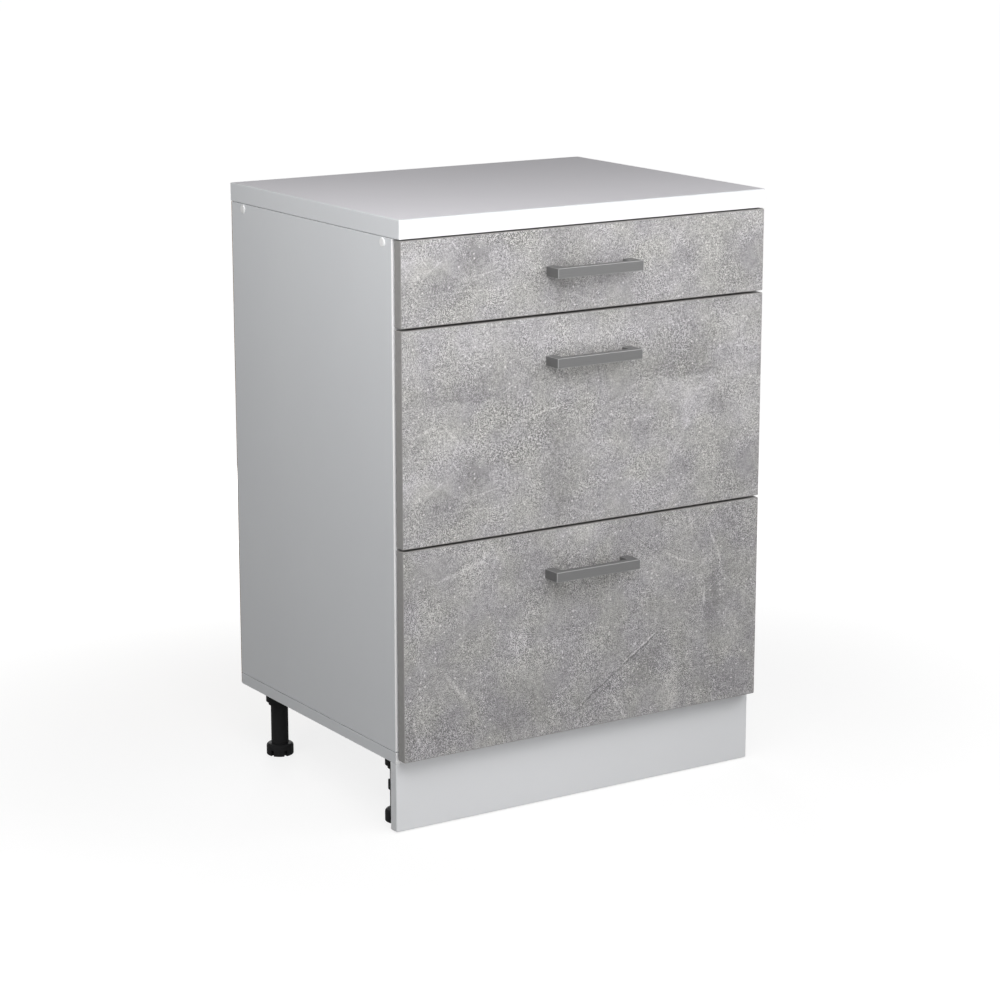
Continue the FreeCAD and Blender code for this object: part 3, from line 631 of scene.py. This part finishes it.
for name, board in boards.items():
    low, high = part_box(board["node"])
    upper, lower = board.get("jointSteps", (0, 0))
    piece = addBlock(name, low + Vector((0, 0, lower)) * mm, high - Vector((0, 0, upper)) * mm)
    piece.data.materials.append(board.get("finish", whiteBoard))
    choose("FACE", bandedFaces[board.get("banded", "front")])
    # on the carcass boards the band's brighter white is a painted highlight along the front edges
    coat(piece, board.get("band", edgeWhiteHighlight))
    choose("EDGE", lambda edge: middle(edge).y < low.y + hair)
    bpy.ops.mesh.bevel(offset=board["frontRadius"] * mm, segments=easing["frontSegments"],
                       affect="EDGES", material=1)
    choose("EDGE", lambda edge: edge.calc_face_angle(0) > sharp)
    bpy.ops.mesh.bevel(offset=board["radius"] * mm, segments=easing["segments"], affect="EDGES")
    for facing, step in ((1, upper), (-1, lower)):
        if step:
            choose("FACE", lambda face: facing * face.normal.z > facingWay
                   and face.calc_area() > easing["endArea"])
            bpy.ops.mesh.inset(thickness=board["setBack"] * mm)
            pull((0, 0, facing * step * mm))
    finishPiece(piece, board.get("slot", "carcass_board"), board.get("body", "carcass"), board["node"])
print("boards edged:", len(boards))

# Worktop: a laminated slab, its ends in the carcass white and its front edge banded. The upper edges
# are rounded more than the lower ones. Radii in mm.
worktop = {"upperRadius": 1.6, "upperSegments": 4, "lowerRadius": 0.4, "lowerSegments": 2}
low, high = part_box("worktop")
piece = addBlock("worktopSlab", low, high)
# the worktop's front edge takes the band's brighter white, a painted highlight
for finish, facing in ((whiteBoard, (1, 0, 0)), (worktopSkin, (0, 0, 1)), (edgeWhiteHighlight, (0, -1, 0))):
    choose("FACE", lambda face: face.normal.dot(Vector(facing)) > facingWay)
    coat(piece, finish)
choose("EDGE", lambda edge: middle(edge).z > high.z - hair)
bpy.ops.mesh.bevel(offset=worktop["upperRadius"] * mm, segments=worktop["upperSegments"],
                   affect="EDGES", material=0)
choose("EDGE", lambda edge: edge.calc_face_angle(0) > sharp)
bpy.ops.mesh.bevel(offset=worktop["lowerRadius"] * mm, segments=worktop["lowerSegments"],
                   affect="EDGES")
finishPiece(piece, "worktop_laminate", "carcass", "worktop")
print("worktop laid")

# Screw caps: a flat button with a rounded rim, pressed over each screw head in the sides. Sizes and
# places, depth and level, in mm.
caps = {"radius": 6.4, "rim": 1.6, "segments": 5, "sides": 40, "smoothAngle": 40,
        "places": [(-178.5, 812), (211.5, 812)]}
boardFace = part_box("right_side_panel")[1].x
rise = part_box("screw_caps")[1].x - boardFace
pattern = addRod("capPattern", (0, 0, 0), (rise, 0, 0), caps["radius"] * mm, caps["sides"])
choose("EDGE", lambda edge: all(vert.co.x > rise - hair for vert in edge.verts))
bpy.ops.mesh.bevel(offset=caps["rim"] * mm, segments=caps["segments"], affect="EDGES")
bpy.ops.object.mode_set(mode="OBJECT")
bpy.ops.object.shade_smooth_by_angle(angle=math.radians(caps["smoothAngle"]))
pattern.data.materials.append(capWhite)
capCount = 0
for facing in (-1, 1):
    for depth, level in caps["places"]:
        capCount += 1
        piece = copyPattern(pattern, "screwCap%d" % capCount)
        piece.rotation_euler.z = 0 if facing > 0 else math.pi
        piece.location = (facing * boardFace, depth * mm, level * mm)
        finishPiece(piece, "cap_plastic", "carcass", "screw_caps")
bpy.data.objects.remove(pattern)
print("caps pressed in:", capCount)

# Bow handles: one bar, its two feet drawn back to the front board, the inner corners rounded. Sizes
# in mm.
handle = {"barDepth": 11, "footWidth": 14, "innerRadius": 4, "innerSegments": 6, "edgeRadius": 0.8,
          "edgeSegments": 3}
for drawer in drawerNames:
    low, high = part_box(drawer + "_handle")
    barBack = low.y + handle["barDepth"] * mm
    gapHalf = high.x - handle["footWidth"] * mm
    piece = addBlock(drawer + "BowHandle", low, (high.x, barBack, high.z))
    for side in (-gapHalf, gapHalf):
        bpy.ops.mesh.select_all(action="SELECT")
        bpy.ops.mesh.bisect(plane_co=(side, 0, 0), plane_no=(1, 0, 0))
    choose("FACE", lambda face: face.normal.y > facingWay and abs(middle(face).x) > gapHalf)
    pull((0, high.y - barBack, 0))
    choose("EDGE", lambda edge: abs(abs(middle(edge).x) - gapHalf) < hair
           and abs(middle(edge).y - barBack) < hair
           and edge.calc_length() > 2 * handle["edgeRadius"] * mm)
    bpy.ops.mesh.bevel(offset=handle["innerRadius"] * mm, segments=handle["innerSegments"],
                       affect="EDGES")
    choose("EDGE", lambda edge: edge.calc_face_angle(0) > sharp and middle(edge).y < high.y - hair)
    piece.data.materials.append(graphitePlate)
    piece.data.materials.append(paintedHighlightPlate)
    # the eased outer edges take the paler plate, a painted highlight along them
    bpy.ops.mesh.bevel(offset=handle["edgeRadius"] * mm, segments=handle["edgeSegments"],
                       affect="EDGES", material=1)
    finishPiece(piece, "handle_metal", drawer + "_drawer", drawer + "_handle")
print("handles bent:", len(drawerNames))


# Screw heads: a raised head with a cross recess on each wood screw of the drawers. The runners' own
# screws lie inside the rails, and stay as they are: their heads are under the smallest radius. Sizes in
# mm, for a head of the pattern's radius.
screwHead = {"radius": 4.0, "sides": 28, "sunk": 0.1, "rise": 0.6, "rim": 0.35, "rimSegments": 3,
             "slotHalf": 2.5, "slotWidth": 0.9, "smallest": 3.9, "level": 0.01}


def findScrews(node):
    # for each screw of a CAD node: the middle of its head's face, the way it faces, and its radius
    shape = bmesh.new()
    shape.from_mesh(nodes[node].data)
    bmesh.ops.remove_doubles(shape, verts=shape.verts, dist=hair)
    left = set(shape.verts)
    screws = []
    while left:
        reached = [left.pop()]
        for vert in reached:
            for edge in vert.link_edges:
                other = edge.other_vert(vert)
                if other in left:
                    left.remove(other)
                    reached.append(other)
        low = Vector(min(vert.co[i] for vert in reached) for i in range(3))
        high = Vector(max(vert.co[i] for vert in reached) for i in range(3))
        axis = max(range(3), key=lambda i: high[i] - low[i])
        ends = []
        for facing, level in ((-1, low[axis]), (1, high[axis])):
            face = (low + high) / 2
            face[axis] = level
            rim = [(vert.co - face).length for vert in reached
                   if abs(vert.co[axis] - level) < screwHead["level"] * mm]
            away = Vector((0, 0, 0))
            away[axis] = facing
            ends.append((max(rim), face, away))
        screws.append(max(ends, key=lambda end: end[0]))
    shape.free()
    return sorted(screws, key=lambda screw: tuple(screw[1]))


pattern = addRod("headPattern", (0, 0, -screwHead["sunk"] * mm), (0, 0, screwHead["rise"] * mm),
                 screwHead["radius"] * mm, screwHead["sides"])
choose("EDGE", lambda edge: all(vert.co.z > screwHead["rise"] * mm - hair for vert in edge.verts))
bpy.ops.mesh.bevel(offset=screwHead["rim"] * mm, segments=screwHead["rimSegments"], affect="EDGES")
bpy.ops.object.mode_set(mode="OBJECT")
half, width = screwHead["slotHalf"] * mm, screwHead["slotWidth"] * mm / 2
for reach in ((half, width), (width, half)):
    cutter = addBlock("slotCutter", (-reach[0], -reach[1], -half), (reach[0], reach[1], half))
    cutAway(pattern, cutter)
pattern.data.materials.append(screwZinc)
headCount = 0
for drawer in drawerNames:
    heads = []
    for radius, face, away in findScrews(drawer + "_drawer_screws"):
        if radius < screwHead["smallest"] * mm:
            continue
        head = copyPattern(pattern, drawer + "ScrewHeads")
        head.scale = (radius / (screwHead["radius"] * mm),) * 2 + (1,)
        head.rotation_euler = away.to_track_quat("Z", "Y").to_euler()
        head.location = face
        bpy.ops.object.transform_apply(location=True, rotation=True, scale=True)
        heads.append(head)
    selectOnly(heads)
    bpy.ops.object.join()
    finishPiece(heads[0], "zinc_steel", drawer + "_drawer")
    headCount += len(heads)
bpy.data.objects.remove(pattern)
print("screw heads set:", headCount)

# Levelling feet: a disc with a rounded crown, open notches round its rim for a spanner, and the stem
# that screws up into the leg. Sizes in mm, turns in degrees.
foot = {"radius": 20, "height": 17, "sides": 72, "crown": 4.0, "crownSegments": 5, "sole": 0.8,
        "stemRadius": 8, "stemLength": 46, "notches": 6, "notchTurn": 26, "notchWidth": 4.4,
        "notchDepth": 5.5, "notchHeight": 9, "overrun": 2, "smoothAngle": 30}
radius, height = foot["radius"] * mm, foot["height"] * mm
pattern = addRod("footPattern", (0, 0, 0), (0, 0, height), radius, foot["sides"])
for level, rounding, segments in ((height, foot["crown"], foot["crownSegments"]), (0, foot["sole"], 1)):
    choose("EDGE", lambda edge: all(abs(vert.co.z - level) < hair for vert in edge.verts))
    bpy.ops.mesh.bevel(offset=rounding * mm, segments=segments, affect="EDGES")
choose("FACE", lambda face: face.normal.z > facingWay and len(face.verts) > 4)     # the flat top
bpy.ops.mesh.inset(thickness=radius - (foot["crown"] + foot["stemRadius"]) * mm)
pull((0, 0, foot["stemLength"] * mm))
bpy.ops.object.mode_set(mode="OBJECT")
overrun, halfWidth = foot["overrun"] * mm, foot["notchWidth"] * mm / 2
for step in range(foot["notches"]):
    cutter = addBlock("notchCutter", (radius - foot["notchDepth"] * mm, -halfWidth, -overrun),
                      (radius + overrun, halfWidth, foot["notchHeight"] * mm))
    cutter.rotation_euler.z = math.radians(foot["notchTurn"]) + 2 * math.pi * step / foot["notches"]
    cutAway(pattern, cutter)
selectOnly([pattern])
bpy.ops.object.shade_smooth_by_angle(angle=math.radians(foot["smoothAngle"]))
pattern.data.materials.append(mouldedBlack)
for depthName in ("front", "rear"):
    for sideName in ("left", "right"):
        node = depthName + "_" + sideName + "_foot"
        low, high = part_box(node)
        piece = copyPattern(pattern, depthName + sideName.capitalize() + "Foot")
        piece.location = ((low.x + high.x) / 2, (low.y + high.y) / 2, 0)
        finishPiece(piece, "leg_plastic", node, node)
bpy.data.objects.remove(pattern)
print("feet screwed in")


# Camera: from the front left and above, with a long lens. Lens and place in mm, turns in degrees.
camera = {"lens": 102.6, "place": (-2176.3, -3377.9, 1348.5), "turn": -32.765, "tilt": 13.406,
          "clipEnd": 300000}
view = bpy.data.objects.new("camera", bpy.data.cameras.new("camera"))
bpy.context.scene.collection.objects.link(view)
view.data.lens = camera["lens"]
view.data.clip_end = camera["clipEnd"] * mm
view.location = Vector(camera["place"]) * mm
view.rotation_euler = (math.radians(90 - camera["tilt"]), 0, math.radians(camera["turn"]))
bpy.context.scene.camera = view

# Studio: soft lamps close to the cabinet, so that the light fades towards the floor. Place, aim and
# size in mm, and watts. The rear lamp stays below the worktop, and lights only the back and the right.
lamps = {
    "keyLamp": {"place": (-700, -900, 1500), "aim": (0, 0, 550), "size": 800, "watts": 7.8},
    "rightLamp": {"place": (1000, -1000, 1200), "aim": (0, 0, 550), "size": 900, "watts": 8.2},
    "leftLamp": {"place": (-1300, -200, 1300), "aim": (0, 0, 550), "size": 800, "watts": 5.8},
    "frontLamp": {"place": (0, -1200, 1100), "aim": (0, 0, 550), "size": 800, "watts": 4.1},
    "lowLamp": {"place": (-600, -1600, 250), "aim": (0, 0, 550), "size": 700, "watts": 6.5},
    "rearLamp": {"place": (700, 1900, 430), "aim": (0, 250, 430), "size": 800, "watts": 24},
}
for name, lamp in lamps.items():
    light = bpy.data.lights.new(name, "AREA")
    light.size = lamp["size"] * mm
    light.energy = lamp["watts"]
    lampObject = bpy.data.objects.new(name, light)
    lampObject.location = Vector(lamp["place"]) * mm
    aim = Vector(lamp["aim"]) - Vector(lamp["place"])
    lampObject.rotation_euler = aim.to_track_quat("-Z", "Y").to_euler()
    bpy.context.scene.collection.objects.link(lampObject)


def seenDirectly(tree):
    # 1 where the camera, a reflection or a clear piece looks, 0 where light only bounces
    path = addNode(tree, "ShaderNodeLightPath")
    total = addNode(tree, "ShaderNodeMath",
                    {0: path.outputs["Is Camera Ray"], 1: path.outputs["Is Glossy Ray"]},
                    operation="ADD")
    return addNode(tree, "ShaderNodeMath",
                   {0: total.outputs[0], 1: path.outputs["Is Transmission Ray"]},
                   operation="ADD", use_clamp=True).outputs[0]


# World: a dim room for the light, and plain white where the camera or a reflection looks past the floor
room = {"colour": "#FFFFFF", "dim": 0.03, "plain": 1.0}
world = bpy.data.worlds.new("room")
bpy.context.scene.world = world
world.use_nodes = True
tree = world.node_tree
tree.nodes.clear()
dim = addNode(tree, "ShaderNodeBackground",
              {"Color": linear(room["colour"]), "Strength": room["dim"]})
plain = addNode(tree, "ShaderNodeBackground",
                {"Color": linear(room["colour"]), "Strength": room["plain"]})
both = addNode(tree, "ShaderNodeMixShader",
               {0: seenDirectly(tree), 1: dim.outputs[0], 2: plain.outputs[0]})
addNode(tree, "ShaderNodeOutputWorld", {"Surface": both.outputs[0]})

# Floor: pale paint. What is seen of it is nearly all plain white, with enough of the paint's own
# light left near the cabinet to keep the shadow. Size and distances in mm.
floorPaint = {"size": 120000, "white": "#FFFFFF", "bounce": "#A0A0A0", "shadow": "#8A8A8A",
              "near": 500, "far": 1500, "lift": 0.80}
bpy.ops.object.select_all(action="DESELECT")
bpy.ops.mesh.primitive_plane_add(size=floorPaint["size"] * mm)
floor = bpy.context.object
floor.name = "floor"
paint = bpy.data.materials.new("floorPaint")
paint.use_nodes = True
tree = paint.node_tree
tree.nodes.clear()
away = addNode(tree, "ShaderNodeVectorMath",
               {0: addNode(tree, "ShaderNodeTexCoord").outputs["Object"]}, operation="LENGTH")
lift = addNode(tree, "ShaderNodeMapRange",
               {"Value": away.outputs["Value"], "From Min": floorPaint["near"] * mm,
                "From Max": floorPaint["far"] * mm, "To Min": floorPaint["lift"], "To Max": 1.0},
               interpolation_type="SMOOTHSTEP")
white = addNode(tree, "ShaderNodeEmission",
                {"Color": linear(floorPaint["white"]), "Strength": lift.outputs[0]})
veil = addNode(tree, "ShaderNodeBsdfDiffuse", {"Color": linear(floorPaint["shadow"])})
shown = addNode(tree, "ShaderNodeAddShader", {0: white.outputs[0], 1: veil.outputs[0]})
bounce = addNode(tree, "ShaderNodeBsdfDiffuse", {"Color": linear(floorPaint["bounce"])})
both = addNode(tree, "ShaderNodeMixShader",
               {0: seenDirectly(tree), 1: bounce.outputs[0], 2: shown.outputs[0]})
addNode(tree, "ShaderNodeOutputMaterial", {"Surface": both.outputs[0]})
floor.data.materials.append(paint)
print("studio ready:", len(lamps), "lamps")

bpy.context.scene.view_settings.view_transform = "Standard"
